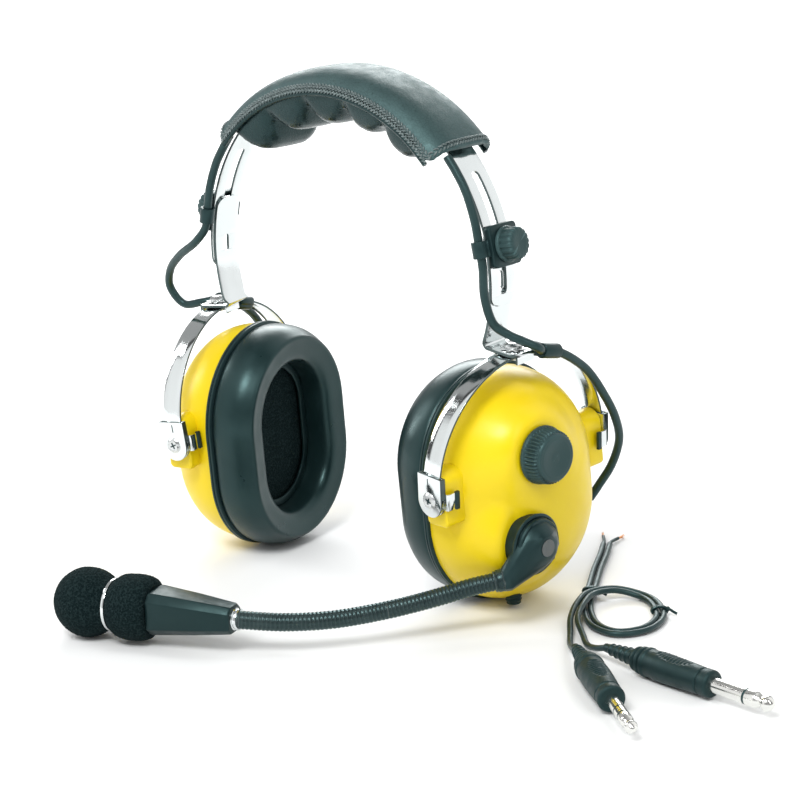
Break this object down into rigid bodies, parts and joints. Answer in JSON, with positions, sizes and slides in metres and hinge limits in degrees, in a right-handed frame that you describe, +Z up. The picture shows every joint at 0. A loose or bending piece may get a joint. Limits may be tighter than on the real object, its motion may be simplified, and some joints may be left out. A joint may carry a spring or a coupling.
{
  "type": "aviation headset",
  "caption": "Aviation headset with two sprung ear cups, slotted steel headband, padded crown, gooseneck boom microphone and a twin-plug lead.",
  "frame": {"origin": "on the table, midway between the ear cups and straight under the headband; the cup rims and the windscreen stand at Z = 0", "axes": "+X to the wearer's left, -Y to the wearer's front, +Z up through the headband"},
  "size_m": [0.3579, 0.2354, 0.2295],
  "materials": {
    "chrome": "polished",
    "steel": "satin",
    "leather": "fine grain",
    "vinyl": "smooth vinyl",
    "black_plastic": "moulded",
    "knob_plastic": "fluted",
    "yellow_shell": "satin gloss",
    "cable_jacket": "matt",
    "foam": "open-cell foam",
    "speaker_frame": "moulded",
    "circuit_board": "solder mask",
    "black_screw": "blackened",
    "gooseneck_coat": "semi-gloss coat",
    "plug_rubber": "moulded",
    "nickel": "plated"
  },
  "bodies": {
    "headband": {"headband_spring": "chrome", "cushion_cover": "leather", "cushion_rolls": "vinyl", "cable_headband": "cable_jacket"},
    "arm_left": {"arm_left": "chrome", "clamp_block_left": "black_plastic", "cable_clip_left": "black_plastic", "stirrup_rivet_left": "steel", "cable_drop_left": "cable_jacket"},
    "knob_left": {"adjuster_knob_left": "knob_plastic"},
    "stirrup_left": {"stirrup_left": "chrome", "end_clips_left": "chrome", "strap_clip_left": "black_plastic", "cable_loop_left": "cable_jacket", "cable_tail_left": "cable_jacket"},
    "cup_left": {"dome_left": "yellow_shell", "back_plate_left": "black_plastic", "ear_seal_left": "vinyl", "pivot_screws_left": "steel", "speaker_left": "speaker_frame", "ear_foam_left": "foam", "cable_grommet_left": "cable_jacket", "volume_pot": "steel", "terminal_board": "circuit_board", "cord_gland": "cable_jacket", "boom_disc": "black_plastic"},
    "arm_right": {"arm_right": "chrome", "clamp_block_right": "black_plastic", "cable_clip_right": "black_plastic", "stirrup_rivet_right": "steel", "cable_drop_right": "cable_jacket"},
    "knob_right": {"adjuster_knob_right": "knob_plastic"},
    "stirrup_right": {"stirrup_right": "chrome", "end_clips_right": "chrome", "strap_clip_right": "black_plastic", "cable_loop_right": "cable_jacket", "cable_tail_right": "cable_jacket"},
    "cup_right": {"dome_right": "yellow_shell", "back_plate_right": "black_plastic", "ear_seal_right": "vinyl", "pivot_screws_right": "steel", "speaker_right": "speaker_frame", "ear_foam_right": "foam", "cable_grommet_right": "cable_jacket"},
    "volume": {"volume_knob": "knob_plastic"},
    "boom": {"boom_housing": "black_plastic", "boom_screw": "black_screw", "gooseneck_rear": "gooseneck_coat"},
    "gooseneck": {"gooseneck_middle": "gooseneck_coat"},
    "microphone": {"gooseneck_front": "gooseneck_coat", "mic_housing": "black_plastic", "mic_capsule": "steel", "windscreen": "foam"},
    "lead": {"mic_plug_handle": "plug_rubber", "mic_plug_pin": "nickel", "phone_plug_handle": "plug_rubber", "phone_plug_pin": "nickel", "mic_lead": "cable_jacket", "phone_lead": "cable_jacket", "lead_ties": "cable_jacket"}
  },
  "joints": [
    {"name": "adjust_left", "type": "hinge", "parent": "headband", "child": "arm_left", "pos_m": [0, 0, 0.14233], "axis": [0, 1, 0], "range_deg": [-9, 11], "deforming": ["cable_drop_left"]},
    {"name": "knob_turn_left", "type": "hinge", "parent": "arm_left", "child": "knob_left", "pos_m": [0.0832, 0, 0.15926], "axis": [0.9799, 0, 0.1994], "continuous": true},
    {"name": "swivel_left", "type": "hinge", "parent": "arm_left", "child": "stirrup_left", "pos_m": [0.086, 0, 0.11383], "axis": [0.0742, -0.0981, 0.9924], "range_deg": [-12, 12], "deforming": ["cable_loop_left"]},
    {"name": "tilt_left", "type": "hinge", "parent": "stirrup_left", "child": "cup_left", "pos_m": [0.08214, 0.0051, 0.06223], "axis": [0.1386, 0.9865, 0.0872], "range_deg": [-12, 12], "deforming": ["cable_tail_left"]},
    {"name": "adjust_right", "type": "hinge", "parent": "headband", "child": "arm_right", "pos_m": [0, 0, 0.14233], "axis": [0, -1, 0], "range_deg": [-9, 11], "deforming": ["cable_drop_right"]},
    {"name": "knob_turn_right", "type": "hinge", "parent": "arm_right", "child": "knob_right", "pos_m": [-0.0832, 0, 0.15926], "axis": [0.9799, 0, -0.1994], "continuous": true},
    {"name": "swivel_right", "type": "hinge", "parent": "arm_right", "child": "stirrup_right", "pos_m": [-0.086, 0, 0.11383], "axis": [0.0742, 0.0981, -0.9924], "range_deg": [-12, 12], "deforming": ["cable_loop_right"]},
    {"name": "tilt_right", "type": "hinge", "parent": "stirrup_right", "child": "cup_right", "pos_m": [-0.08214, 0.0051, 0.06223], "axis": [0.1386, -0.9865, -0.0872], "range_deg": [-12, 12], "deforming": ["cable_tail_right"]},
    {"name": "volume_turn", "type": "hinge", "parent": "cup_left", "child": "volume", "pos_m": [0.1042, -0.00607, 0.07327], "axis": [0.9903, -0.1392, 0], "range_deg": [0, 270]},
    {"name": "boom_turn", "type": "hinge", "parent": "cup_left", "child": "boom", "pos_m": [0.10578, -0.01209, 0.03563], "axis": [0.9903, -0.1392, 0], "range_deg": [-35, 15]},
    {"name": "gooseneck_sweep", "type": "hinge", "parent": "boom", "child": "gooseneck", "pos_m": [0.081, -0.05, 0.018], "axis": [0, 0, 1], "range_deg": [-20, 25]},
    {"name": "gooseneck_lift", "type": "hinge", "parent": "gooseneck", "child": "microphone", "pos_m": [0.056, -0.085, 0.0138], "axis": [-0.424, 0.9057, 0], "range_deg": [-12, 30]},
    {"name": "lead_slide", "type": "slide", "parent": "headband", "child": "lead", "axis": [1, 0, 0], "range_m": [0, 0.05]}
  ]
}
